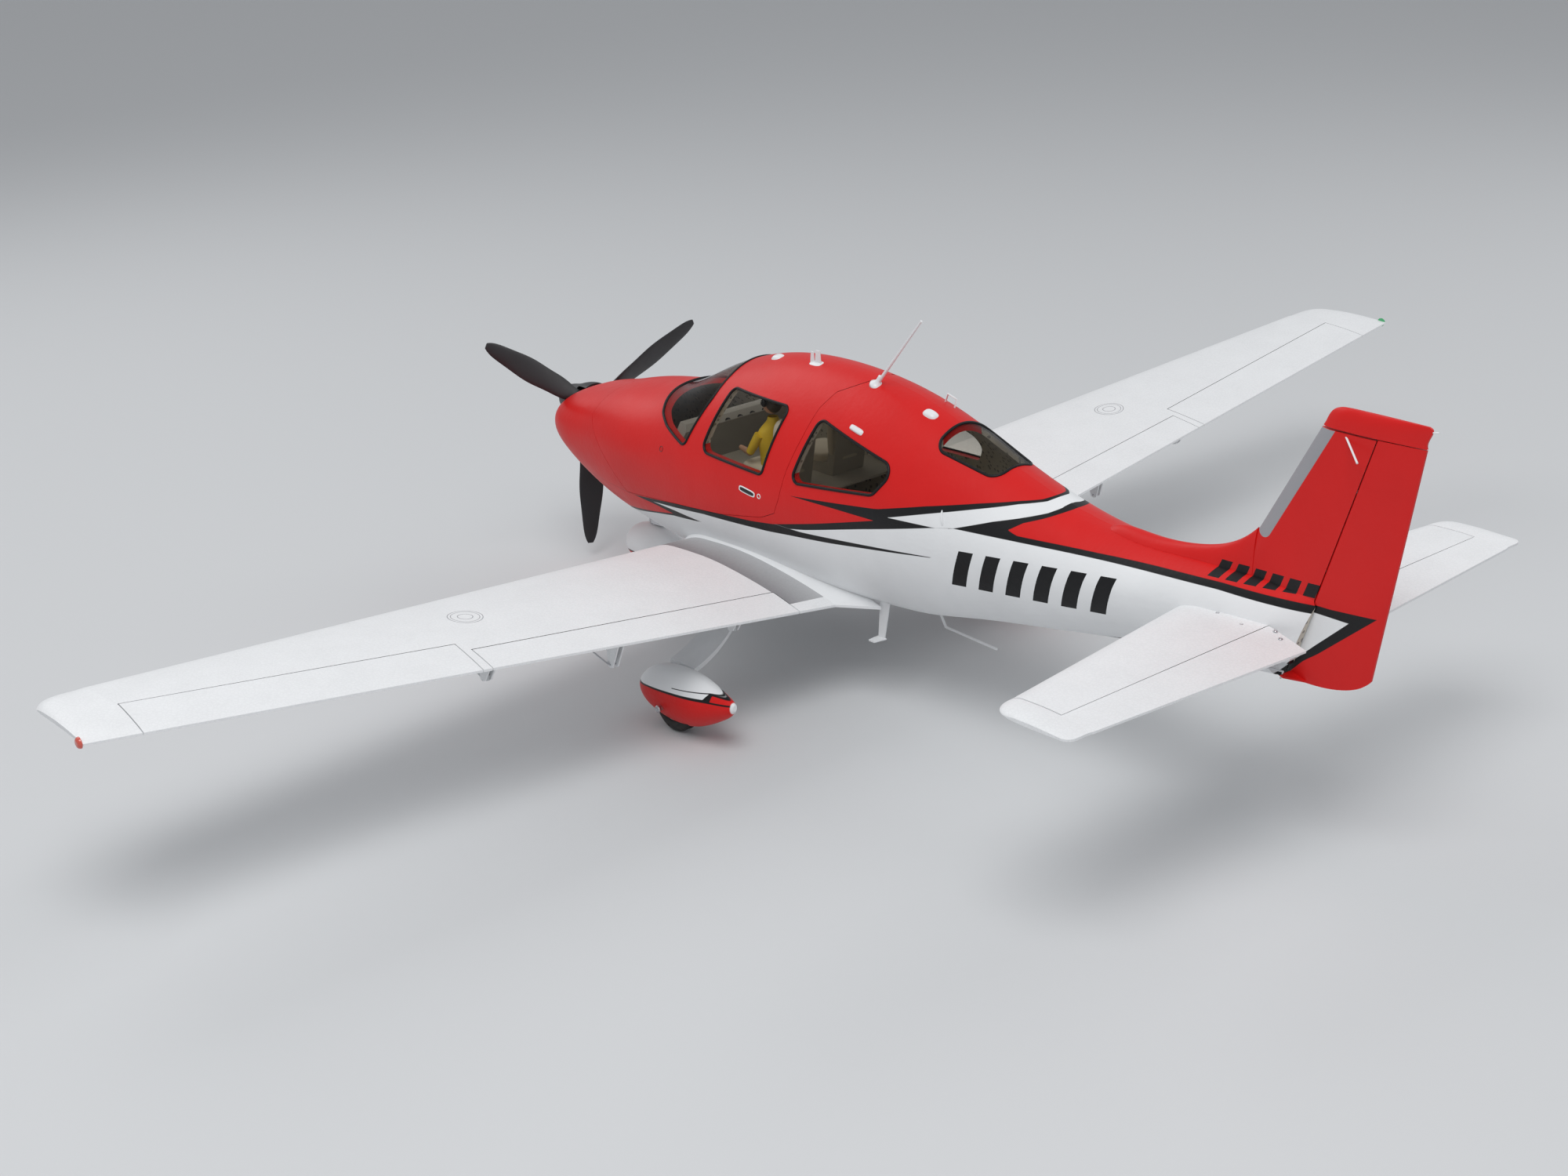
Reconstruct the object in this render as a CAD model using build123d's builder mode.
from build123d import *
import os
from math import cos, pi, sqrt

os.makedirs("parts", exist_ok=True)

# Radio-control foam aeroplane.  Nose towards -Y, left wing towards +X, wheels standing on Z = 0, in mm.

# ---------------------------------------------------------------- driving dimensions
WALL = 7.0                 # foam shell
PANE = 1.2                 # glazing
SEAM = 0.4                 # gap round the hatch and behind the control surface noses
END_GAP = 1.0              # gap at the ends of a control surface
RUN = 0.08                 # radial running clearance of pins and shafts
PIN_R = 0.8                # hinge pins
WIRE_R = 0.75              # pushrod wire

WING_START, WING_END, TIP_X = 80.0, 705.0, 747.0
WING_LEAD, WING_SWEEP = -236.1, 0.14          # leading edge y at the wing root, and its slope
WING_TRAIL, WING_TAPER = -12.5, -0.0472       # trailing edge y at the wing root, and its slope
WING_HEIGHT, DIHEDRAL = 88.4, 0.122           # chord line z at the centre line, and its slope
WING_THICK, WING_CAMBER = 0.12, 0.02

SHAFT_Z = 167.4            # propeller shaft
PROP_Y, PROP_R = -485.8, 150.0
PROP_START_ANGLE = 36.1
FIREWALL_Y = -440.0

TAIL_Z = 181.0             # tailplane
TAIL_HINGE_Y = 415.0
TAIL_ROOT, TAIL_END = 22.0, 241.0
RUDDER_FOOT = Vector(0, 421, 141)
RUDDER_TOP = Vector(0, 492, 341)

MAIN_WHEEL = Vector(208, -80, 26)
NOSE_WHEEL = Vector(0, -388, 24)

# Fuselage lines: y, top z, bottom z, half width, z of the widest point, upper and lower fullness
LINES = [
    (-476, 189, 140, 53, 165, 0.66, 0.65),
    (-466, 194, 133, 60, 165, 0.66, 0.64),
    (-430, 203, 108, 67, 162, 0.63, 0.63),
    (-370, 218, 86, 74, 163, 0.60, 0.63),
    (-300, 231, 76, 79, 164, 0.58, 0.65),
    (-230, 261, 74, 83, 165, 0.53, 0.68),
    (-190, 275.5, 75, 84, 166, 0.52, 0.69),
    (-150, 284.5, 76, 84, 167, 0.51, 0.70),
    (-105, 288.7, 78, 82.8, 168, 0.505, 0.70),
    (-60, 288.5, 80, 80.8, 169, 0.50, 0.70),
    (-20, 285, 83.5, 77.5, 170.5, 0.50, 0.69),
    (20, 278, 87, 73, 172, 0.50, 0.67),
    (100, 252, 98, 62, 173, 0.50, 0.63),
    (180, 226, 112, 52, 173, 0.51, 0.60),
    (260, 213, 125, 42, 177, 0.52, 0.57),
    (340, 213, 133, 32, 182, 0.55, 0.55),
    (415, 213, 139, 20, 183, 0.55, 0.55),
    (446, 212, 143, 8, 184, 0.55, 0.55),
]
CAVITY_FRONT, CAVITY_REAR = -468.0, 330.0

# Side views of the hatch and the windows, as (y, z)
HATCH_SIDE = [(-396, 320), (-396, 190), (-330, 127), (-237, 139), (-171, 146), (-108, 158), (-90, 166),
              (-84, 180), (-77, 208), (-68, 236), (-62, 262), (-54, 275), (-32, 285), (-20, 320)]
WINDSCREEN_SIDE = [(-307, 320), (-303, 230), (-280, 215), (-262, 208), (-224, 198), (-206, 243), (-203, 262),
                   (-203, 320)]
DOOR_WINDOW = [(-196, 200), (-182, 257), (-95, 257), (-108, 197)]
REAR_WINDOW = [(-70, 198.5), (-54, 255), (45, 231), (26, 206.5)]
# Plan view of the window in the spine, as (x, y)
BACK_WINDOW = [(-33, 68), (33, 68), (23, 132), (-23, 132)]
# Top of the ridge that sweeps up into the fin: y, top z, half width
DORSAL = [(236, 213, 14), (275, 218.3, 13), (311, 219.6, 11), (340, 225, 9), (360, 232.3, 8), (374, 241, 7),
          (384, 250, 6.5)]

ROD_SIDE = 2.4             # pushrod beside the arm and horn
FLAP_ROD_SIDE = 4.6
RUDDER_ROD_SIDE = 3.4
HORN_THICK = 1.6


def save(builder, name):
    builder.part.label = name
    export_step(builder.part, f"parts/{name}.step")


def mirrored(part):
    return mirror(part, about=Plane.YZ)


def save_solid(solid, name):
    solid.label = name
    export_step(solid, f"parts/{name}.step")


# ---------------------------------------------------------------- shapes shared by several pieces
def hull_half(inset=0.0, count=len(LINES)):
    """Left half of the fuselage's outer shape, moved inwards by inset."""
    with BuildPart() as hull:
        for y, top, bottom, half, widest, upper, lower in LINES[:count]:
            top, bottom, half = top - inset, bottom + inset, half - inset
            with BuildSketch(Plane.XZ.offset(-y)):
                shoulder = widest + upper * (top - widest)
                haunch = widest - lower * (widest - bottom)
                with BuildLine():
                    Bezier((0, top), (upper * half, top), (half, shoulder), (half, widest))
                    Bezier((half, widest), (half, haunch), (lower * half, bottom), (0, bottom))
                    Line((0, bottom), (0, top))
                make_face()
        loft()
    return hull.part


def whole(half):
    """Both halves of a shape that is symmetric about X = 0."""
    with BuildPart() as both:
        add(half)
        mirror(about=Plane.YZ)
    return both.part


def block(low, high):
    """A plain box between two corners."""
    size = [b - a for a, b in zip(low, high)]
    return Pos(*low) * Box(*size, align=(Align.MIN, Align.MIN, Align.MIN), mode=Mode.PRIVATE)


def side_prism(points, reach=120.0, both=True, grow=0.0):
    """A side view in (y, z) pushed out along X."""
    with BuildPart() as prism:
        with BuildSketch(Plane.YZ):
            with BuildLine():
                Polyline(*points, close=True)
            make_face()
            if grow:
                offset(amount=grow)
        extrude(amount=reach, both=both)
    return prism.part


def window_prism(plane, aft, points, front_r, rear_r, reach=120.0):
    """A window's outline with round corners, its two rearmost ones apart, pushed out from its plane."""
    with BuildPart() as prism:
        with BuildSketch(plane) as outline:
            with BuildLine():
                Polyline(*points, close=True)
            make_face()
            fillet(outline.vertices().sort_by(aft)[-2:], rear_r)
            fillet(outline.vertices().sort_by(aft)[:2], front_r)
        extrude(amount=reach)
    return prism.part


def airfoil(plane, lead, trail, height, thickness, camber):
    """Wing section on a plane whose local x runs aft and local y runs up."""
    steps = 7
    chord = trail - lead
    upper, lower = [], []
    for i in range(steps + 1):
        c = (1 + cos(pi * i / steps)) / 2
        half = 5 * thickness * (0.2969 * sqrt(c) - 0.126 * c - 0.3516 * c**2 + 0.2843 * c**3 - 0.1015 * c**4)
        half += 0.8 * c
        mean = height + 4 * camber * chord * c * (1 - c)
        upper.append((lead + chord * c, mean + half))
        lower.append((lead + chord * c, mean - half))
    with BuildSketch(plane) as section:
        with BuildLine():
            Spline(*upper, *reversed(lower[:-1]))
            Line(lower[0], upper[0])
        make_face()
    return section.sketch


def hinge_plane(inner, outer):
    """Origin at a hinge's inner end, local z along the hinge, local x aft, local y up (or to starboard)."""
    axis = (outer - inner).normalized()
    aft = Vector(0, 1, 0) - axis * axis.Y
    return Plane(origin=inner, x_dir=aft.normalized(), z_dir=axis)


def aft_of(plane, length, radius, margin=0.0):
    """All space aft of a hinge line, with a round nose about the line."""
    with BuildPart() as aft:
        with BuildSketch(plane.offset(-margin)):
            Circle(radius)
            with Locations((60, 0)):
                Rectangle(120, 120)
        extrude(amount=length + 2 * margin)
    return aft.part


def rod_along(plane, start, end, radius, at=(0, 0)):
    """A round rod along a plane's normal."""
    with BuildPart() as rod:
        with BuildSketch(plane.offset(start)):
            with Locations(at):
                Circle(radius)
        extrude(amount=end - start)
    return rod.part


def slab_along(plane, start, end, size, at=(0, 0)):
    """A rectangular bar along a plane's normal."""
    with BuildPart() as slab:
        with BuildSketch(plane.offset(start)):
            with Locations(at):
                Rectangle(*size)
        extrude(amount=end - start)
    return slab.part


# ---------------------------------------------------------------- hinges and control linkages
def hinge_leaf(plane, station, radius):
    """Fixed leaf with an eye on the hinge line."""
    with BuildPart() as leaf:
        with BuildSketch(plane.offset(station - 1.2)):
            Circle(2.2)
            with Locations((-(radius + 9) / 2, 0)):
                Rectangle(radius + 9, 2)
        extrude(amount=2.4)
    return leaf.part


def hinge_cut(plane, stations, radius, depth=8.0):
    """Slots for the leaves and bores for the pins in a control surface's nose."""
    with BuildPart() as cut:
        for station in stations:
            add(slab_along(plane, station - 1.8, station + 1.8, (radius + 6, depth), ((4 - radius) / 2 - 1, 0)))
            add(rod_along(plane, station - 7.3, station + 7.3, PIN_R + RUN))
    return cut.part


def horn(plane, station, reach, root_depth, hole_r=WIRE_R + RUN):
    """Control horn: a plate from a surface's skin to the pushrod hole."""
    with BuildPart() as plate:
        with BuildSketch(plane.offset(station - HORN_THICK / 2)):
            with BuildLine():
                Polyline((1, -root_depth), (16, -root_depth), (14, -root_depth - 2), (2.4, -reach - 1.4),
                         (-2.0, -reach - 1.4), (-2.0, -reach + 1.5), close=True)
            make_face()
            with Locations((0, -reach)):
                Circle(hole_r, mode=Mode.SUBTRACT)
        extrude(amount=HORN_THICK)
    return plate.part


def servo(plane, station, pivot, body_side):
    """Nine gram servo lying on its side, its shaft along the hinge direction."""
    low = 3.4 if body_side > 0 else -3.4 - 22.5
    ear = low + 15 if body_side > 0 else low + 22.5 - 17
    with BuildPart() as body:
        add(slab_along(plane, station + low, station + low + 22.5, (23, 12), (pivot[0] - 5.5, pivot[1])))
        add(slab_along(plane, station + ear, station + ear + 2, (32, 12), (pivot[0] - 5.5, pivot[1])))
        shaft = (-1.6, 3.4) if body_side > 0 else (-3.4, 1.6)
        add(rod_along(plane, station + shaft[0], station + shaft[1], 2.0, pivot))
    return body.part


def servo_arm(plane, station, pivot, length):
    """Servo arm: a hub on the shaft and an arm down to the pushrod hole."""
    with BuildPart() as arm:
        with BuildSketch(plane.offset(station - HORN_THICK)):
            with Locations(pivot):
                Circle(3.6)
                Circle(2.0 + RUN, mode=Mode.SUBTRACT)
        extrude(amount=2 * HORN_THICK)
        with BuildSketch(plane.offset(station - HORN_THICK / 2)):
            with Locations((pivot[0], pivot[1] - length)):
                Circle(2.0)
            with Locations((pivot[0], pivot[1] - 1.5 - length / 2)):
                Rectangle(4, length - 3)
            with Locations((pivot[0], pivot[1] - length)):
                Circle(WIRE_R + RUN, mode=Mode.SUBTRACT)
            with Locations(pivot):
                Circle(2.0 + RUN, mode=Mode.SUBTRACT)
        extrude(amount=HORN_THICK)
    return arm.part


def pushrod(plane, start, end, offset):
    """Wire pushrod beside the arm and horn, with a bent leg through each; start and end are local points."""
    first = plane.from_local_coords(Vector(start[0], start[1], start[2] + offset))
    last = plane.from_local_coords(Vector(end[0], end[1], end[2] + offset))
    run = Plane(origin=first, z_dir=last - first)
    with BuildPart() as rod:
        add(rod_along(run, 0, (last - first).length, WIRE_R))
        for point, corner in ((start, first), (end, last)):
            add(rod_along(plane, point[2] - offset + 0.2, point[2] + offset, WIRE_R, point[:2]))
            with Locations(corner):
                Sphere(WIRE_R)
    return rod.part


# ---------------------------------------------------------------- wing
def wing_lead(x):
    return WING_LEAD + WING_SWEEP * (x - WING_START)


def wing_trail(x):
    return WING_TRAIL + WING_TAPER * (x - WING_START)


def wing_height(x):
    return WING_HEIGHT + DIHEDRAL * x


def wing_section(x, lead=None, trail=None, thickness=None):
    lead = wing_lead(x) if lead is None else lead
    trail = wing_trail(x) if trail is None else trail
    thickness = WING_THICK * (trail - lead) if thickness is None else thickness
    return airfoil(Plane.YZ.offset(x), lead, trail, wing_height(x), thickness, WING_CAMBER)


def wing_point(x, y, drop=0.0):
    """Point on the camber line at x and y, or below it."""
    chord = wing_trail(x) - wing_lead(x)
    c = (y - wing_lead(x)) / chord
    return Vector(x, y, wing_height(x) + 4 * WING_CAMBER * chord * c * (1 - c) - drop)


AILERON = hinge_plane(wing_point(428, -72.4), wing_point(701, -85.6))
AILERON_LENGTH = (wing_point(701, -85.6) - wing_point(428, -72.4)).length
AILERON_NOSE = 6.5
AILERON_HINGES = [20, AILERON_LENGTH / 2, AILERON_LENGTH - 20]
FLAP = hinge_plane(wing_point(121, -46.0, 17), wing_point(422, -52.8, 17))
FLAP_LENGTH = (wing_point(422, -52.8, 17) - wing_point(121, -46.0, 17)).length
FLAP_NOSE = 23.5
FLAP_BRACKETS = [47, 172, FLAP_LENGTH - 8]

ARM_LENGTH = 14.0
AILERON_STATION, AILERON_PIVOT = 132.0, (-52.0, 0.0)
FLAP_ARM = 11.0
FLAP_STATION, FLAP_PIVOT = 172.0, (-78.0, 14.0)
FLAP_HORN = (0.0, -FLAP_ARM)

with BuildPart() as wing_blank:
    loft([wing_section(WING_START), wing_section(WING_END)], ruled=True)
with BuildPart() as wing_tip:
    loft([
        wing_section(WING_END),
        wing_section(728, lead=-144.5, thickness=10.5),
        wing_section(741, lead=-137, thickness=7.5),
        wing_section(TIP_X, lead=-127, thickness=3),
    ])

JOINER_AXIS = Vector(1, 0, DIHEDRAL).normalized()
JOINER_START = Vector(0, -168, WING_HEIGHT + 4)
WING_JOINER = Plane(origin=JOINER_START, x_dir=(0, 1, 0), z_dir=JOINER_AXIS)
JOINER_R, JOINER_FROM, JOINER_TO = 5.0, 1.5, 300.0
JOINER_ROOM = whole(rod_along(WING_JOINER, JOINER_FROM, JOINER_TO, JOINER_R))


def servo_pocket(plane, station, pivot, sweep):
    """Room for a servo and its arm, open at the wing's underside."""
    middle = (pivot[0] - 5.5, pivot[1] - 13.8)
    with BuildPart() as pocket:
        add(slab_along(plane, station - 26.4, station - 2.9, (24, 40), middle))
        add(slab_along(plane, station - 20.6, station - 18.2, (33, 40), middle))
        add(slab_along(plane, station - 3, station + 4.2, (sweep, 40), (pivot[0], pivot[1] - 15.4)))
    return pocket.part


with BuildPart() as left_wing:
    add(wing_blank.part)
    add(wing_tip.part)
    add(aft_of(AILERON, AILERON_LENGTH, AILERON_NOSE + SEAM, END_GAP), mode=Mode.SUBTRACT)
    add(aft_of(FLAP, FLAP_LENGTH, FLAP_NOSE + SEAM, END_GAP), mode=Mode.SUBTRACT)
    for hinge in AILERON_HINGES:
        add(hinge_leaf(AILERON, hinge, AILERON_NOSE), mode=Mode.SUBTRACT)
    add(servo_pocket(AILERON, AILERON_STATION, AILERON_PIVOT, 19), mode=Mode.SUBTRACT)
    add(servo_pocket(FLAP, FLAP_STATION, FLAP_PIVOT, 25), mode=Mode.SUBTRACT)
    add(rod_along(WING_JOINER, 60, JOINER_TO, JOINER_R), mode=Mode.SUBTRACT)
save(left_wing, "left_wing")
save_solid(mirrored(left_wing.part), "right_wing")

with BuildPart() as left_aileron:
    add(wing_blank.part)
    add(aft_of(AILERON, AILERON_LENGTH, AILERON_NOSE), mode=Mode.INTERSECT)
    add(hinge_cut(AILERON, AILERON_HINGES, AILERON_NOSE), mode=Mode.SUBTRACT)
    add(horn(AILERON, AILERON_STATION, ARM_LENGTH, 3.0))
save(left_aileron, "left_aileron")
save_solid(mirrored(left_aileron.part), "right_aileron")


def flap_clevis(station):
    """Two prongs that hang from a flap to its drop hinge; the middle one carries the pushrod too."""
    low = FLAP_HORN[1] if station == FLAP_BRACKETS[1] else 0.0
    with BuildPart() as prongs:
        for start in (1.9, -3.4):
            with BuildSketch(FLAP.offset(station + start)):
                with BuildLine():
                    Polyline((-8, 17), (14, 17), (3.2, low - 2), (0, low - 3.2), (-3.2, low - 2), close=True)
                make_face()
                Circle(PIN_R + RUN, mode=Mode.SUBTRACT)
                if low:
                    with Locations(FLAP_HORN):
                        Circle(WIRE_R + RUN, mode=Mode.SUBTRACT)
            extrude(amount=1.5)
    return prongs.part


with BuildPart() as left_flap:
    add(wing_blank.part)
    add(aft_of(FLAP, FLAP_LENGTH, FLAP_NOSE), mode=Mode.INTERSECT)
    for bracket in FLAP_BRACKETS:
        add(flap_clevis(bracket))
save(left_flap, "left_flap")
save_solid(mirrored(left_flap.part), "right_flap")


def flap_bracket(station):
    """Fixed tongue from the wing's underside to the drop hinge, with its pin."""
    with BuildPart() as tongue:
        with BuildSketch(FLAP.offset(station - 1.5)):
            with BuildLine():
                Polyline((-39, 10), (-27, 10), (3, 2.4), (3, -2.4), (-2, -3), (-39, 7), close=True)
            make_face()
            Circle(PIN_R, mode=Mode.SUBTRACT)
        extrude(amount=3)
        add(wing_blank.part, mode=Mode.SUBTRACT)
    return tongue.part


with BuildPart() as flap_brackets:
    for bracket in FLAP_BRACKETS:
        add(flap_bracket(bracket))
    mirror(about=Plane.YZ)
save(flap_brackets, "flap_brackets")

# ---------------------------------------------------------------- tailplane and elevator
TAIL = hinge_plane(Vector(0, TAIL_HINGE_Y, TAIL_Z), Vector(300, TAIL_HINGE_Y, TAIL_Z))
TAIL_NOSE = 4.5
TAIL_HINGES = [80, 195]


def tail_section(x, lead=None, trail=None, thickness=None):
    lead = 333 + 0.142 * (x - 20) if lead is None else lead
    trail = 457 - 0.074 * (x - 35) if trail is None else trail
    thickness = 11.1 - 0.015 * x if thickness is None else thickness
    return airfoil(Plane.YZ.offset(x), lead, trail, TAIL_Z, thickness, 0.0)


with BuildPart() as tail_blank:
    loft([tail_section(8), tail_section(TAIL_END)], ruled=True)
with BuildPart() as tail_tip:
    loft([
        tail_section(TAIL_END),
        tail_section(254, lead=367, thickness=8.5),
        tail_section(261, lead=373, trail=439, thickness=6.0),
        tail_section(264, lead=381, trail=434, thickness=2.5),
    ])

OUTER_HULL = hull_half()
HULL = whole(OUTER_HULL)

with BuildPart() as left_stabilizer:
    add(tail_blank.part)
    add(block((0, 300, 150), (TAIL_END - END_GAP, 500, 210)), mode=Mode.INTERSECT)
    add(aft_of(TAIL, 300, TAIL_NOSE + SEAM), mode=Mode.SUBTRACT)
    add(OUTER_HULL, mode=Mode.SUBTRACT)
    for hinge in TAIL_HINGES:
        add(hinge_leaf(TAIL, hinge, TAIL_NOSE), mode=Mode.SUBTRACT)
save(left_stabilizer, "left_stabilizer")
save_solid(mirrored(left_stabilizer.part), "right_stabilizer")

ELEVATOR_STATION = -29.0
ELEVATOR_WIRE_R, ELEVATOR_WIRE_END = 2.0, 44.0

with BuildPart() as left_elevator:
    add(tail_blank.part)
    add(block((TAIL_ROOT, 300, 150), (TAIL_END, 500, 210)), mode=Mode.INTERSECT)
    add(aft_of(TAIL, 300, TAIL_NOSE), mode=Mode.INTERSECT)
    add(tail_tip.part)
    add(hinge_cut(TAIL, TAIL_HINGES, TAIL_NOSE, 6), mode=Mode.SUBTRACT)
    with BuildSketch(Plane.XY.offset(150)):
        Polygon((0, TAIL_HINGE_Y + 1), (TAIL_ROOT, TAIL_HINGE_Y + 1), (37, 470), (0, 470), align=None)
    extrude(amount=60, mode=Mode.SUBTRACT)
    add(rod_along(TAIL, 0, ELEVATOR_WIRE_END, ELEVATOR_WIRE_R), mode=Mode.SUBTRACT)

with BuildPart() as elevator:
    add(left_elevator.part)
    mirror(about=Plane.YZ)
    add(horn(TAIL, ELEVATOR_STATION, ARM_LENGTH, 2.6))
save(elevator, "elevator")

with BuildPart() as elevator_wire:
    add(rod_along(TAIL, -ELEVATOR_WIRE_END, ELEVATOR_WIRE_END, ELEVATOR_WIRE_R))
save(elevator_wire, "elevator_wire")

# ---------------------------------------------------------------- fin and rudder
RUDDER = hinge_plane(RUDDER_FOOT, RUDDER_TOP)
RUDDER_NOSE = 5.6
RUDDER_HINGES = [95, 165]
CAP_Z = 341.0
DORSAL_FOOT = 195.0


def fin_section(z, lead=None, trail=None, thickness=None):
    """Symmetric section of the fin and rudder at one height, lying flat."""
    lead = 384 + 0.582 * (z - 248) if lead is None else lead
    trail = 490 + 0.1875 * (z - 152) if trail is None else trail
    thickness = 13.5 - 0.02 * (z - 144) if thickness is None else thickness
    lying = Plane(origin=(0, 0, z), x_dir=(0, 1, 0), z_dir=(0, 0, 1))
    return airfoil(lying, lead, trail, 0, thickness, 0.0)


with BuildPart() as fin_blank:
    loft([fin_section(138), fin_section(CAP_Z)], ruled=True)
with BuildPart() as fin_cap:
    loft([
        fin_section(CAP_Z + 0.8),
        fin_section(350, lead=443, thickness=8.5),
        fin_section(356, lead=449, trail=529, thickness=5.5),
        fin_section(358, lead=456, trail=526, thickness=2.5),
    ])
with BuildPart() as dorsal_ridge:
    for y, top, half in DORSAL:
        with BuildSketch(Plane.XZ.offset(-y)):
            with Locations((0, DORSAL_FOOT)):
                Ellipse(half, top - DORSAL_FOOT)
    loft()

with BuildPart() as fin:
    add(fin_blank.part)
    add(block((-30, 300, 190), (30, 600, CAP_Z - 0.8)), mode=Mode.INTERSECT)
    add(dorsal_ridge.part)
    add(aft_of(RUDDER, 240, RUDDER_NOSE + 2 * SEAM, 20), mode=Mode.SUBTRACT)
    add(HULL, mode=Mode.SUBTRACT)
    for hinge in RUDDER_HINGES:
        add(hinge_leaf(RUDDER, hinge, RUDDER_NOSE), mode=Mode.SUBTRACT)
save(fin, "fin")

with BuildPart() as below_rudder:
    with BuildSketch(Plane.YZ):
        with BuildLine():
            Spline((400, 141.5), (445, 141), (470, 144.6), (485, 151.5), (493, 160), (501, 182))
            Polyline((501, 182), (530, 182), (530, 100), (400, 100), (400, 141.5))
        make_face()
    extrude(amount=30, both=True)

RUDDER_STATION = 6.0
RUDDER_HORN_REACH = 16.0

with BuildPart() as rudder:
    add(fin_blank.part)
    add(block((-30, 300, 130), (30, 600, CAP_Z + 0.8)), mode=Mode.INTERSECT)
    add(aft_of(RUDDER, 240, RUDDER_NOSE, 20), mode=Mode.INTERSECT)
    add(fin_cap.part)
    add(below_rudder.part, mode=Mode.SUBTRACT)
    add(hinge_cut(RUDDER, RUDDER_HINGES, RUDDER_NOSE), mode=Mode.SUBTRACT)
    add(horn(RUDDER, RUDDER_STATION, RUDDER_HORN_REACH, 3.4))
save(rudder, "rudder")

# ---------------------------------------------------------------- hinge leaves and pins
with BuildPart() as hinge_set:
    for plane, hinges, nose in ((AILERON, AILERON_HINGES, AILERON_NOSE), (TAIL, TAIL_HINGES, TAIL_NOSE)):
        for hinge in hinges:
            add(hinge_leaf(plane, hinge, nose))
            add(rod_along(plane, hinge - 7, hinge + 7, PIN_R))
    for bracket in FLAP_BRACKETS:
        add(rod_along(FLAP, bracket - 3.4, bracket + 3.4, PIN_R))
    mirror(about=Plane.YZ)
    for hinge in RUDDER_HINGES:
        add(hinge_leaf(RUDDER, hinge, RUDDER_NOSE))
        add(rod_along(RUDDER, hinge - 7, hinge + 7, PIN_R))
save(hinge_set, "hinge_set")

# ---------------------------------------------------------------- servos, arms and pushrods
ELEVATOR_PIVOT = (-215.0, -6.0)
RUDDER_PIVOT = (-191.4, 0.0)
RUDDER_SERVO_STATION = -76.3      # well below the horn's station, because the hinge line is raked

with BuildPart() as servos:
    add(servo(AILERON, AILERON_STATION, AILERON_PIVOT, -1))
    add(servo(FLAP, FLAP_STATION, FLAP_PIVOT, -1))
    mirror(about=Plane.YZ)
    add(servo(TAIL, ELEVATOR_STATION, ELEVATOR_PIVOT, 1))
    add(servo(RUDDER, RUDDER_SERVO_STATION, RUDDER_PIVOT, 1))
save(servos, "servos")

# Horn holes, as (x, y, station) on their hinge planes
AILERON_HOLE = (0, -ARM_LENGTH, AILERON_STATION)
FLAP_HOLE = (*FLAP_HORN, FLAP_STATION)
ELEVATOR_HOLE = (0, -ARM_LENGTH, ELEVATOR_STATION)
RUDDER_HOLE = (0, -RUDDER_HORN_REACH, RUDDER_STATION)

# name, hinge plane, servo station, servo pivot, arm length, horn hole, rod offset, one on each wing
LINKAGES = [
    ("aileron", AILERON, AILERON_STATION, AILERON_PIVOT, ARM_LENGTH, AILERON_HOLE, ROD_SIDE, True),
    ("flap", FLAP, FLAP_STATION, FLAP_PIVOT, FLAP_ARM, FLAP_HOLE, FLAP_ROD_SIDE, True),
    ("elevator", TAIL, ELEVATOR_STATION, ELEVATOR_PIVOT, ARM_LENGTH, ELEVATOR_HOLE, ROD_SIDE, False),
    ("rudder", RUDDER, RUDDER_SERVO_STATION, RUDDER_PIVOT, RUDDER_HORN_REACH, RUDDER_HOLE, RUDDER_ROD_SIDE, False),
]
for control, plane, station, pivot, length, hole, rod_side, paired in LINKAGES:
    arm = servo_arm(plane, station, pivot, length)
    rod = pushrod(plane, (pivot[0], pivot[1] - length, station), hole, rod_side)
    if paired:
        save_solid(arm, f"left_{control}_arm")
        save_solid(rod, f"left_{control}_pushrod")
        save_solid(mirrored(arm), f"right_{control}_arm")
        save_solid(mirrored(rod), f"right_{control}_pushrod")
    else:
        save_solid(arm, f"{control}_arm")
        save_solid(rod, f"{control}_pushrod")

# ---------------------------------------------------------------- fuselage shells
CAVITY_HALF = hull_half(WALL, len(LINES) - 2)
with BuildPart() as cavity_builder:
    add(CAVITY_HALF)
    add(block((-1, CAVITY_FRONT, 0), (120, CAVITY_REAR, 400)), mode=Mode.INTERSECT)
    mirror(about=Plane.YZ)
CAVITY = cavity_builder.part
PANE_CORE = whole(hull_half(PANE))

HATCH_ROOM = side_prism(HATCH_SIDE, grow=SEAM)
DOOR_PANE = window_prism(Plane.YZ, Axis.X, DOOR_WINDOW, 8, 6)
REAR_PANE = window_prism(Plane.YZ, Axis.X, REAR_WINDOW, 7, 10)
BACK_ROOM = window_prism(Plane.XY.offset(205), Axis.Y, BACK_WINDOW, 9, 13, 80)
with BuildPart() as screen_room:
    with BuildSketch(Plane.YZ) as screen_outline:
        with BuildLine():
            Polyline(*WINDSCREEN_SIDE, close=True)
        make_face()
        fillet(screen_outline.vertices().filter_by_position(Axis.Y, 190, 250), 7)
    extrude(amount=120, both=True)
SCREEN_ROOM = screen_room.part

with BuildPart() as wing_stub:
    loft([wing_section(50, lead=-256, trail=14, thickness=44), wing_section(WING_START)], ruled=True)

with BuildPart() as nose_ring:
    with BuildSketch(Plane.XZ.offset(470)):
        with Locations((0, SHAFT_Z)):
            Circle(21)
    with BuildSketch(Plane.XZ.offset(478)):
        with Locations((0, SHAFT_Z)):
            Circle(19)
    loft()

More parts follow.
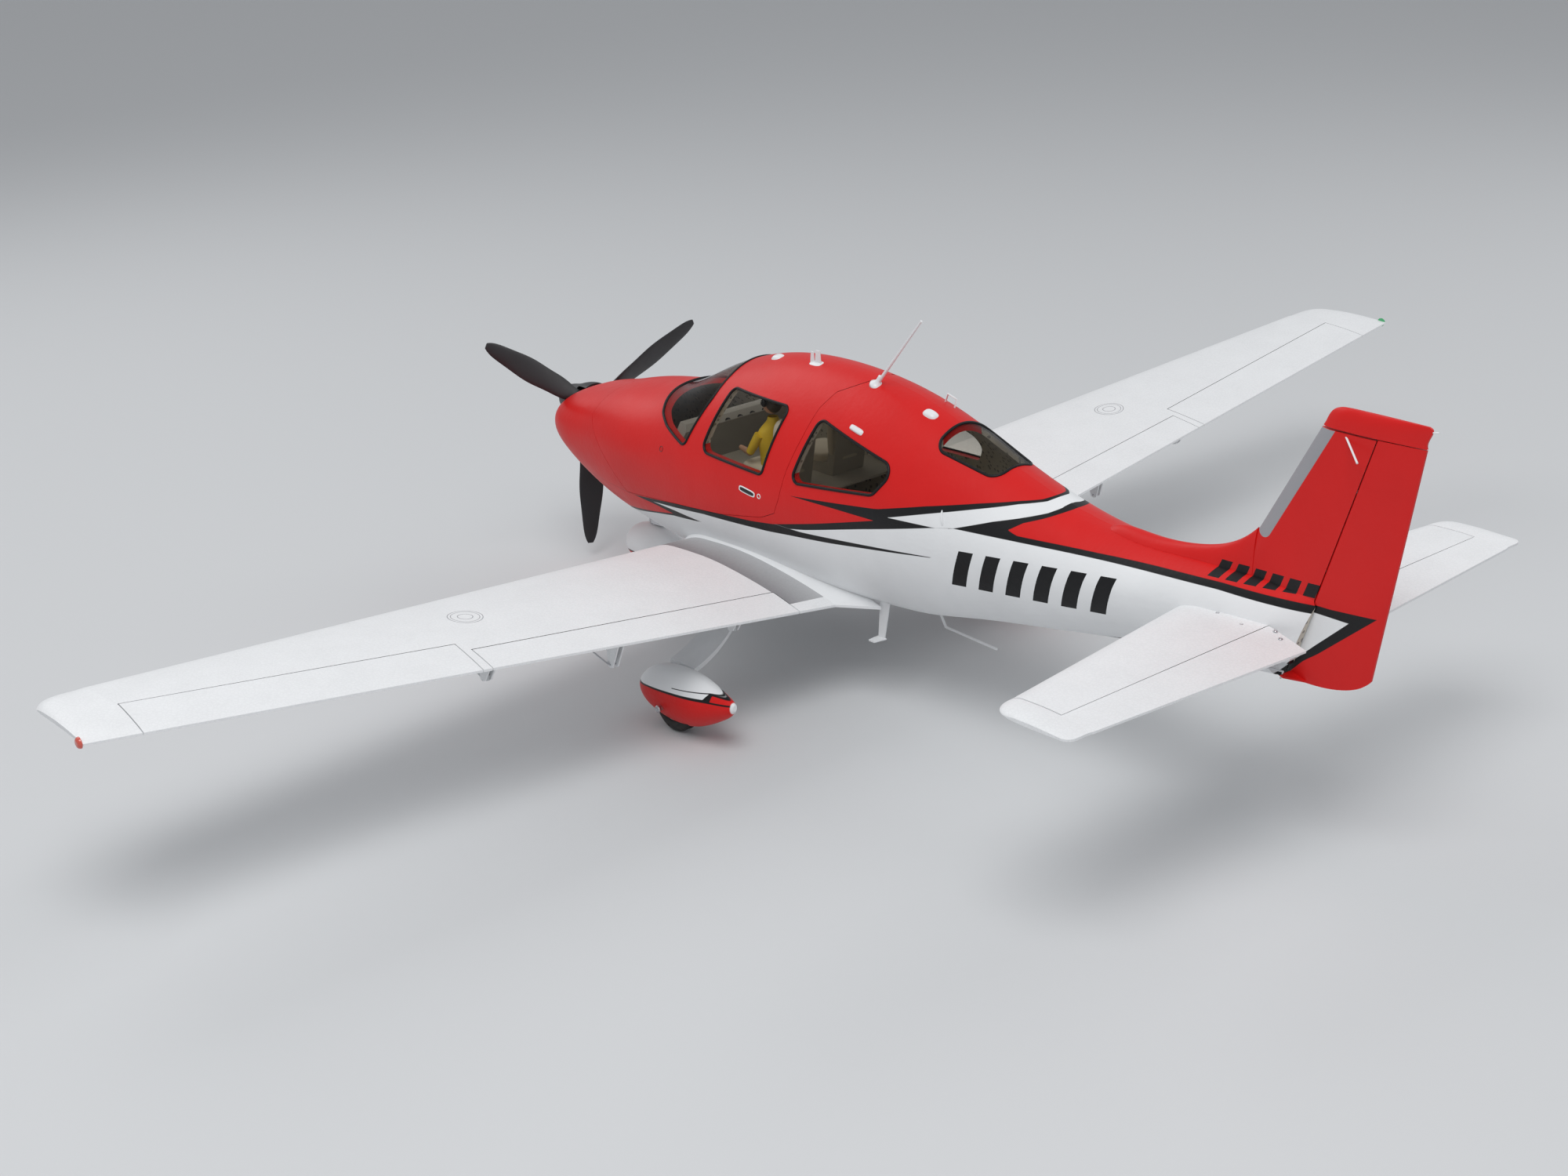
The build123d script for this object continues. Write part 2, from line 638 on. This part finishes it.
# Exits for the pushrods at the tail, and room for the rudder's horn and servo arm
ELEVATOR_ROD_SLOT = block((-29.8, 250, 158), (-23.4, 402, 172))
RUDDER_HORN_ROOM = block((3, 408, 139), (20, 432, 155))
with BuildPart() as rudder_rod_slot:
    with BuildSketch(Plane.YZ.offset(12)):
        Polygon((200, 126), (200, 143), (431, 157), (431, 141), align=None)
    extrude(amount=8)

with BuildPart() as left_shell:
    add(OUTER_HULL)
    add(wing_stub.part)
    add(nose_ring.part)
    add(block((0, -600, 0), (200, 600, 400)), mode=Mode.INTERSECT)
    add(CAVITY, mode=Mode.SUBTRACT)
    add(HATCH_ROOM, mode=Mode.SUBTRACT)
    add(REAR_PANE, mode=Mode.SUBTRACT)
    add(BACK_ROOM, mode=Mode.SUBTRACT)
    add(aft_of(RUDDER, 300, RUDDER_NOSE + 2 * SEAM, 60), mode=Mode.SUBTRACT)
    add(rod_along(Plane.XZ.offset(400), 0, 90, 9, (0, SHAFT_Z)), mode=Mode.SUBTRACT)
    add(rod_along(TAIL, -60, 60, ELEVATOR_WIRE_R + RUN), mode=Mode.SUBTRACT)
    add(rod_along(WING_JOINER, JOINER_FROM, 100, JOINER_R), mode=Mode.SUBTRACT)
    add(rod_along(Plane.XY, 60, 120, 4.5, (0, NOSE_WHEEL.Y)), mode=Mode.SUBTRACT)
    with BuildSketch(Plane.XZ.offset(440)):
        with Locations((37, SHAFT_Z + 2)):
            Ellipse(10, 8)
    extrude(amount=60, mode=Mode.SUBTRACT)

with BuildPart() as left_half:
    add(left_shell.part)
    add(rudder_rod_slot.part, mode=Mode.SUBTRACT)
    add(RUDDER_HORN_ROOM, mode=Mode.SUBTRACT)
save(left_half, "fuselage_left_half")

with BuildPart() as right_half:
    add(mirrored(left_shell.part))
    add(ELEVATOR_ROD_SLOT, mode=Mode.SUBTRACT)
save(right_half, "fuselage_right_half")

# ---------------------------------------------------------------- glazing
with BuildPart() as cabin_glazing:
    add(HULL)
    add(PANE_CORE, mode=Mode.SUBTRACT)
    add(whole(REAR_PANE), mode=Mode.INTERSECT)
with BuildPart() as back_glazing:
    add(HULL)
    add(PANE_CORE, mode=Mode.SUBTRACT)
    add(BACK_ROOM, mode=Mode.INTERSECT)
with BuildPart() as cabin_windows:
    add(cabin_glazing.part)
    add(back_glazing.part)
save(cabin_windows, "cabin_windows")

with BuildPart() as windscreen:
    add(HULL)
    add(PANE_CORE, mode=Mode.SUBTRACT)
    add(SCREEN_ROOM, mode=Mode.INTERSECT)
save(windscreen, "windscreen")

with BuildPart() as door_windows:
    add(HULL)
    add(PANE_CORE, mode=Mode.SUBTRACT)
    add(whole(DOOR_PANE), mode=Mode.INTERSECT)
save(door_windows, "door_windows")

# ---------------------------------------------------------------- canopy hatch and cockpit
with BuildPart() as canopy_hatch:
    add(HULL)
    add(CAVITY, mode=Mode.SUBTRACT)
    add(side_prism(HATCH_SIDE), mode=Mode.INTERSECT)
    add(SCREEN_ROOM, mode=Mode.SUBTRACT)
    add(whole(DOOR_PANE), mode=Mode.SUBTRACT)
save(canopy_hatch, "canopy_hatch")

COCKPIT_FLOOR = 168.0
with BuildPart() as cockpit_tray:
    add(CAVITY)
    add(block((-100, -300, COCKPIT_FLOOR), (100, -93, COCKPIT_FLOOR + 2)), mode=Mode.INTERSECT)
    for x in (-32, 32):
        with Locations((x, -150, COCKPIT_FLOOR + 7)):
            Box(38, 46, 12)
        with Locations(Location((x, -118, COCKPIT_FLOOR + 32), (-12, 0, 0))):
            Box(38, 9, 64)
    fillet(cockpit_tray.edges().filter_by(Axis.Z).group_by(Axis.Z)[-1], 1.5)
save(cockpit_tray, "cockpit_tray")

with BuildPart() as instrument_panel:
    add(CAVITY)
    with BuildSketch(Plane.YZ):
        Polygon((-252, COCKPIT_FLOOR + 2), (-246, COCKPIT_FLOOR + 2), (-236, 206), (-240, 212), (-252, 212),
                align=None)
    extrude(amount=100, both=True, mode=Mode.INTERSECT)
save(instrument_panel, "instrument_panel")

SEATED = Vector(32, -147, COCKPIT_FLOOR + 13)
with BuildPart() as pilot_figure:
    for height, wide, deep in ((0, 15, 12), (22, 17, 12), (44, 19, 10), (50, 12, 7)):
        with BuildSketch(Plane.XY.offset(SEATED.Z + height)):
            with Locations((SEATED.X, SEATED.Y)):
                Ellipse(wide, deep)
    loft()
    with BuildSketch(Plane.XY.offset(SEATED.Z + 48)):
        with Locations((SEATED.X, SEATED.Y)):
            Circle(5.5)
    extrude(amount=10)
    with Locations((SEATED.X, SEATED.Y, SEATED.Z + 66)):
        Sphere(11.5)
save(pilot_figure, "pilot_figure")

with BuildPart() as roof_fittings:
    with BuildSketch(Plane.XY.offset(270)):
        with Locations((0, -176)):
            Circle(6)
    extrude(amount=15)
    fillet(roof_fittings.faces().sort_by(Axis.Z)[-1].edges(), 4)
    for y in (-130, -121):
        with BuildSketch(Plane.YZ):
            Polygon((y - 2, 270), (y + 6, 270), (y + 3, 300), (y - 1, 300), align=None)
        extrude(amount=1.2, both=True)
    add(HULL, mode=Mode.SUBTRACT)
save(roof_fittings, "roof_fittings")

# ---------------------------------------------------------------- power plant
with BuildPart() as firewall:
    add(CAVITY)
    add(block((-100, FIREWALL_Y - 4, 0), (100, FIREWALL_Y, 400)), mode=Mode.INTERSECT)
save(firewall, "firewall")

MOTOR_REAR = FIREWALL_Y - 4
with BuildPart() as motor_stator:
    add(rod_along(Plane.XZ.offset(-MOTOR_REAR), 0, 4, 19, (0, SHAFT_Z)))
    add(rod_along(Plane.XZ.offset(-MOTOR_REAR), 4, 20, 14, (0, SHAFT_Z)))
    add(rod_along(Plane.XZ.offset(-MOTOR_REAR), 0, 20, 2.5 + RUN, (0, SHAFT_Z)), mode=Mode.SUBTRACT)
save(motor_stator, "motor_stator")

with BuildPart() as motor_bell:
    add(rod_along(Plane.XZ.offset(-MOTOR_REAR), 5, 24, 17.5, (0, SHAFT_Z)))
    add(rod_along(Plane.XZ.offset(-MOTOR_REAR), 5, 21, 15, (0, SHAFT_Z)), mode=Mode.SUBTRACT)
    add(rod_along(Plane.XZ.offset(-MOTOR_REAR), 2, 60, 2.5, (0, SHAFT_Z)))
save(motor_bell, "motor_bell")

# Blade sections: radius, chord, thickness, twist from the disc plane in degrees
BLADE = [(9, 13, 9, 30), (26, 17, 6, 30), (50, 25, 4.2, 28), (80, 26, 3.2, 20), (115, 21, 2.4, 15),
         (142, 13, 1.8, 12), (PROP_R, 6, 1.2, 11)]
with BuildPart() as blade:
    for radius, chord, thickness, twist in BLADE:
        section = Plane(origin=(radius, PROP_Y, SHAFT_Z), x_dir=(0, 0, 1), z_dir=(1, 0, 0))
        with BuildSketch(section):
            with Locations(Location((0, 0), twist)):
                Ellipse(chord / 2, thickness / 2)
    loft()

PROP_AXIS = Axis((0, PROP_Y, SHAFT_Z), (0, -1, 0))
HUB_FRONT, HUB_REAR = 9.0, 4.8
with BuildPart() as propeller:
    for turn in range(3):
        add(blade.part.rotate(PROP_AXIS, PROP_START_ANGLE + 120 * turn))
    add(rod_along(Plane.XZ.offset(-PROP_Y), -HUB_REAR, HUB_FRONT, 14, (0, SHAFT_Z)))
    add(rod_along(Plane.XZ.offset(-PROP_Y), -20, 20, 2.5, (0, SHAFT_Z)), mode=Mode.SUBTRACT)
save(propeller, "propeller")

SPINNER_R, SPINNER_TIP = 24.0, -535.0
SPINNER_BASE = PROP_Y + 6.4
with BuildPart() as spinner:
    with BuildSketch(Plane.XY.offset(SHAFT_Z)):
        with BuildLine():
            Line((0, SPINNER_BASE), (SPINNER_R, SPINNER_BASE))
            Line((SPINNER_R, SPINNER_BASE), (SPINNER_R, SPINNER_BASE - 3))
            Spline((SPINNER_R, SPINNER_BASE - 3), (17.5, -510), (0, SPINNER_TIP), tangents=((0, -1), (-1, 0)))
            Line((0, SPINNER_TIP), (0, SPINNER_BASE))
        make_face()
    revolve(axis=Axis((0, 0, SHAFT_Z), (0, 1, 0)))
    add(rod_along(Plane.XZ.offset(-PROP_Y), -HUB_REAR, 12, 21, (0, SHAFT_Z)), mode=Mode.SUBTRACT)
    slot = block((14.5, PROP_Y - 9, SHAFT_Z - 11), (40, PROP_Y + 9, SHAFT_Z + 11))
    for turn in range(3):
        add(slot.rotate(PROP_AXIS, PROP_START_ANGLE + 120 * turn), mode=Mode.SUBTRACT)
    add(rod_along(Plane.XZ.offset(-PROP_Y), -8, 21, 2.5, (0, SHAFT_Z)), mode=Mode.SUBTRACT)
save(spinner, "spinner")

TRAY_Z = 100.0
SERVO_TRAY_Z = 166.0
with BuildPart() as trays:
    add(CAVITY)
    with BuildSketch(Plane.XY.offset(TRAY_Z)):
        Polygon((-100, -345), (100, -345), (100, 10), (-100, 10), align=None)
    with BuildSketch(Plane.XY.offset(SERVO_TRAY_Z)):
        Polygon((-100, 165), (100, 165), (100, 235), (-100, 235), align=None)
    extrude(amount=3, mode=Mode.INTERSECT)
    add(JOINER_ROOM, mode=Mode.SUBTRACT)
    add(block((-33, 185, 150), (-25, 215, 180)), mode=Mode.SUBTRACT)
save(trays, "plywood_trays")

BATTERY_LOW, BATTERY_HIGH = (-22, -335, TRAY_Z + 3), (22, -205, TRAY_Z + 38)
with BuildPart() as battery:
    add(block(BATTERY_LOW, BATTERY_HIGH))
    fillet(battery.edges(), 2)
save(battery, "battery")

with BuildPart() as battery_straps:
    for y in (-310, -240):
        add(block((-24, y, TRAY_Z + 3), (24, y + 16, TRAY_Z + 40)))
    add(block(BATTERY_LOW, BATTERY_HIGH), mode=Mode.SUBTRACT)
save(battery_straps, "battery_straps")

with BuildPart() as speed_controller:
    add(block((-17, -185, TRAY_Z + 3), (17, -115, TRAY_Z + 15)))
    fillet(speed_controller.edges().filter_by(Axis.Z), 2)
save(speed_controller, "speed_controller")

with BuildPart() as receiver:
    add(block((-13, -85, TRAY_Z + 3), (13, -45, TRAY_Z + 16)))
    fillet(receiver.edges().filter_by(Axis.Z), 2)
save(receiver, "receiver")

# ---------------------------------------------------------------- joiner tubes
with BuildPart() as joiner_tubes:
    add(rod_along(WING_JOINER, JOINER_FROM, JOINER_TO, JOINER_R))
    add(rod_along(WING_JOINER, JOINER_FROM, JOINER_TO, JOINER_R - 1), mode=Mode.SUBTRACT)
    mirror(about=Plane.YZ)
save(joiner_tubes, "joiner_tubes")

# ---------------------------------------------------------------- landing gear
GEAR_PIN_R = 2.0
PANT_SECTIONS = [(-131, 3, 3, 30), (-122, 10, 12, 32), (-104, 17, 21, 34), (-80, 19, 25.5, 35),
                 (-50, 18, 24, 36.5), (-22, 12, 15, 40), (-5, 6, 8, 43.5), (2, 2, 3, 46)]


def pant_solid(sections, x, inset=0.0):
    """Wheel pant shape lofted through upright ellipses: y, half width, half height, centre z."""
    with BuildPart() as shape:
        for y, wide, high, z in sections:
            with BuildSketch(Plane.XZ.offset(-y)):
                with Locations((x, z)):
                    Ellipse(wide - inset, high - inset)
        loft()
    return shape.part


def wheel_well(centre, radius, width):
    """Room for a wheel inside its pant."""
    reach = width / 2 + 2
    return rod_along(Plane.YZ, centre.X - reach, centre.X + reach, radius + 2.5, (centre.Y, centre.Z))


def wheel(centre, radius, width):
    """Foam tyre on a plastic hub, turned about X."""
    with BuildPart() as turned:
        with BuildSketch(Plane(origin=centre, x_dir=(0, 1, 0), z_dir=(1, 0, 0)).offset(-width / 2)):
            Circle(radius)
            Circle(GEAR_PIN_R + RUN, mode=Mode.SUBTRACT)
        extrude(amount=width)
        fillet(turned.edges().filter_by(GeomType.CIRCLE).group_by(SortBy.RADIUS)[-1], width * 0.32)
    return turned.part


with BuildPart() as main_pants:
    add(pant_solid(PANT_SECTIONS, MAIN_WHEEL.X))
    add(pant_solid(PANT_SECTIONS[1:-1], MAIN_WHEEL.X, 2.5), mode=Mode.SUBTRACT)
    add(block((150, -200, 0), (260, 60, 13)), mode=Mode.SUBTRACT)
    add(wheel_well(MAIN_WHEEL, MAIN_WHEEL.Z, 18), mode=Mode.SUBTRACT)
    add(rod_along(Plane.YZ, 180, 240, GEAR_PIN_R, (MAIN_WHEEL.Y, MAIN_WHEEL.Z)), mode=Mode.SUBTRACT)
    mirror(about=Plane.YZ)
save(main_pants, "main_wheel_pants")

main_wheel = wheel(MAIN_WHEEL, MAIN_WHEEL.Z, 18)
save_solid(main_wheel, "left_main_wheel")
save_solid(mirrored(main_wheel), "right_main_wheel")

with BuildPart() as main_axles:
    add(rod_along(Plane.YZ, 186, 230, GEAR_PIN_R, (MAIN_WHEEL.Y, MAIN_WHEEL.Z)))
    mirror(about=Plane.YZ)
save(main_axles, "main_axles")

LEG_LINE = [(126, 108), (146, 89), (162, 74), (182, 62), (196, 57)]
with BuildPart() as main_legs:
    with BuildSketch(Plane.XZ.offset(103)):
        with BuildLine():
            Spline(*LEG_LINE)
            Spline(*[(x + 1.5, z - 5) for x, z in LEG_LINE])
            Line(LEG_LINE[0], (LEG_LINE[0][0] + 1.5, LEG_LINE[0][1] - 5))
            Line(LEG_LINE[-1], (LEG_LINE[-1][0] + 1.5, LEG_LINE[-1][1] - 5))
        make_face()
    extrude(amount=-34)
    add(wing_blank.part, mode=Mode.SUBTRACT)
    add(pant_solid(PANT_SECTIONS, MAIN_WHEEL.X), mode=Mode.SUBTRACT)
    mirror(about=Plane.YZ)
save(main_legs, "main_legs")

NOSE_PANT = [(-437, 3, 3, 30), (-430, 9, 12, 32), (-414, 14, 21, 34), (-388, 16, 25, 35), (-362, 14, 20, 37),
             (-342, 7, 9, 42), (-334, 2, 3, 45)]
STRUT_R = 2.5
with BuildPart() as nose_pant:
    add(pant_solid(NOSE_PANT, 0))
    add(pant_solid(NOSE_PANT[1:-1], 0, 2.5), mode=Mode.SUBTRACT)
    add(block((-50, -500, 0), (50, -300, 13)), mode=Mode.SUBTRACT)
    add(wheel_well(NOSE_WHEEL, NOSE_WHEEL.Z, 14), mode=Mode.SUBTRACT)
    add(rod_along(Plane.YZ, -30, 30, GEAR_PIN_R, (NOSE_WHEEL.Y, NOSE_WHEEL.Z)), mode=Mode.SUBTRACT)
    add(rod_along(Plane.XY, 50, 70, STRUT_R, (0, NOSE_WHEEL.Y)), mode=Mode.SUBTRACT)
save(nose_pant, "nose_wheel_pant")

nose_wheel = wheel(NOSE_WHEEL, NOSE_WHEEL.Z, 14)
save_solid(nose_wheel, "nose_wheel")

with BuildPart() as nose_strut:
    add(rod_along(Plane.XY, 56, 136, STRUT_R, (0, NOSE_WHEEL.Y)))
    add(rod_along(Plane.YZ, -18, 18, GEAR_PIN_R, (NOSE_WHEEL.Y, NOSE_WHEEL.Z)))
    with BuildSketch(Plane.XY.offset(61.5)):
        with Locations((0, NOSE_WHEEL.Y + 4)):
            Ellipse(4, 13)
    with BuildSketch(Plane.XY.offset(82)):
        with Locations((0, NOSE_WHEEL.Y + 1)):
            Ellipse(4, 8)
    loft()
    with Locations((0, NOSE_WHEEL.Y, 131)):
        Cylinder(6, 6)
        Box(34, 6, 4)
save(nose_strut, "nose_strut")

with BuildPart() as nose_block:
    add(CAVITY)
    add(block((-13, NOSE_WHEEL.Y - 11, 60), (13, NOSE_WHEEL.Y + 11, 126)), mode=Mode.INTERSECT)
    add(rod_along(Plane.XY, 60, 140, STRUT_R + RUN, (0, NOSE_WHEEL.Y)), mode=Mode.SUBTRACT)
save(nose_block, "nose_gear_block")

# ---------------------------------------------------------------- outside fittings
with BuildPart() as nav_lights:
    with BuildSketch(Plane.YZ.offset(TIP_X)):
        with Locations((-50, wing_height(TIP_X))):
            Circle(4.5)
    extrude(amount=3)
    fillet(nav_lights.faces().sort_by(Axis.X)[-1].edges(), 2.6)
    mirror(about=Plane.YZ)
save(nav_lights, "nav_lights")


def mast(foot, tip, foot_r, tip_r):
    """Tapered rod between two points."""
    reach = tip - foot
    with BuildPart() as rod:
        with Locations(Plane(origin=foot, z_dir=reach)):
            Cone(foot_r, tip_r, reach.length, align=(Align.CENTER, Align.CENTER, Align.MIN))
    return rod.part


HANDLE = [(0, 40, 262), (0, 42, 281), (0, 56, 276), (0, 56, 257)]
with BuildPart() as aerials:
    add(mast(Vector(0, -37, 276), Vector(0, 20, 342), 2.2, 0.9))
    with Locations((0, 26, 268)):
        Cylinder(6, 20)
    for start, end in zip(HANDLE, HANDLE[1:]):
        add(mast(Vector(*start), Vector(*end), 1.2, 1.15))
        with Locations(end):
            Sphere(1.2)
    add(mast(Vector(0, 42, 100), Vector(0, 54, 72), 1.6, 1.3))
    add(mast(Vector(0, 54, 72), Vector(0, 105, 67), 1.3, 1.0))
    for side in (-1, 1):
        add(mast(Vector(side * 1.5, 464, 330), Vector(side * 9, 473, 322), 0.9, 0.7))
    add(HULL, mode=Mode.SUBTRACT)
    add(fin.part, mode=Mode.SUBTRACT)
save(aerials, "aerials")

STEP_PATH = [(44, 2, 86), (50, 6, 72), (55, 14, 66), (72, 24, 65)]
with BuildPart() as boarding_steps:
    for start, end in zip(STEP_PATH, STEP_PATH[1:]):
        add(mast(Vector(*start), Vector(*end), 1.6, 1.5))
        with Locations(end):
            Sphere(1.6)
    with Locations((70, 23, 65)):
        Box(16, 12, 1.6)
    add(OUTER_HULL, mode=Mode.SUBTRACT)
    mirror(about=Plane.YZ)
save(boarding_steps, "boarding_steps")
